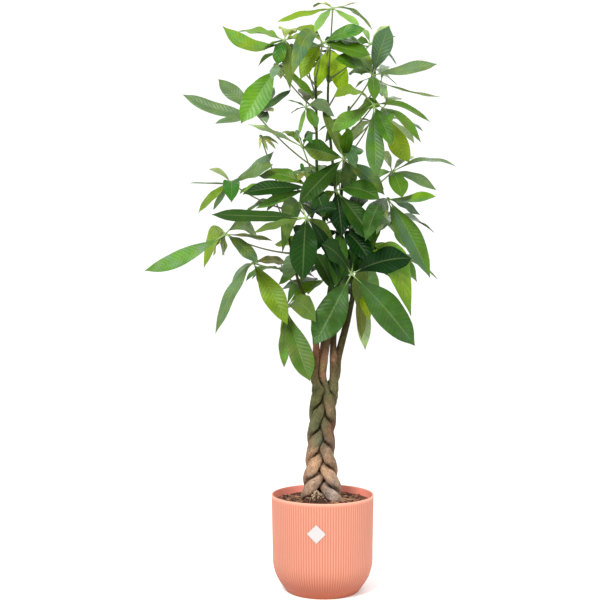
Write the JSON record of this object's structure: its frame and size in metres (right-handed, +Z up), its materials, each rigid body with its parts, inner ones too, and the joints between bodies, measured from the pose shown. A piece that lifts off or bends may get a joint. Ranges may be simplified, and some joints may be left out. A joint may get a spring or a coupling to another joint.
{
  "type": "potted money tree",
  "caption": "Plaited-stem house plant with drooping palmate leaves on long petioles, growing in a ribbed round plastic pot with a bare label plate.",
  "frame": {"origin": "middle of the pot's flat bottom face", "axes": "+Z up along the pot's axis, -Y towards the viewer of the picture, +X to the viewer's right"},
  "size_m": [0.6635, 0.4726, 1.287],
  "materials": {
    "pot": "satin",
    "label": "satin",
    "soil": "matte",
    "stems": "matte",
    "leaves": "satin"
  },
  "bodies": {
    "root": {"pot": "pot", "label_plate": "label", "soil": "soil", "stem_1": "stems", "stem_2": "stems", "stem_3": "stems", "stem_4": "stems", "stem_5": "stems", "leaf_01": "leaves", "leaf_02": "leaves", "leaf_03": "leaves", "leaf_04": "leaves", "leaf_05": "leaves", "leaf_06": "leaves", "leaf_07": "leaves", "leaf_08": "leaves", "leaf_09": "leaves", "leaf_10": "leaves", "leaf_11": "leaves", "leaf_12": "leaves", "leaf_13": "leaves", "leaf_14": "leaves", "leaf_15": "leaves", "leaf_16": "leaves", "leaf_17": "leaves", "leaf_18": "leaves", "leaf_19": "leaves", "leaf_20": "leaves", "leaf_21": "leaves", "leaf_22": "leaves", "leaf_23": "leaves", "leaf_24": "leaves", "leaf_25": "leaves", "leaf_26": "leaves", "leaf_27": "leaves", "leaf_28": "leaves", "leaf_29": "leaves", "leaf_30": "leaves", "leaf_31": "leaves", "leaf_32": "leaves", "leaf_33": "leaves", "leaf_34": "leaves", "leaf_35": "leaves", "leaf_36": "leaves", "leaf_37": "leaves", "leaf_38": "leaves", "leaf_39": "leaves", "leaf_40": "leaves", "leaf_41": "leaves"}
  },
  "joints": []
}
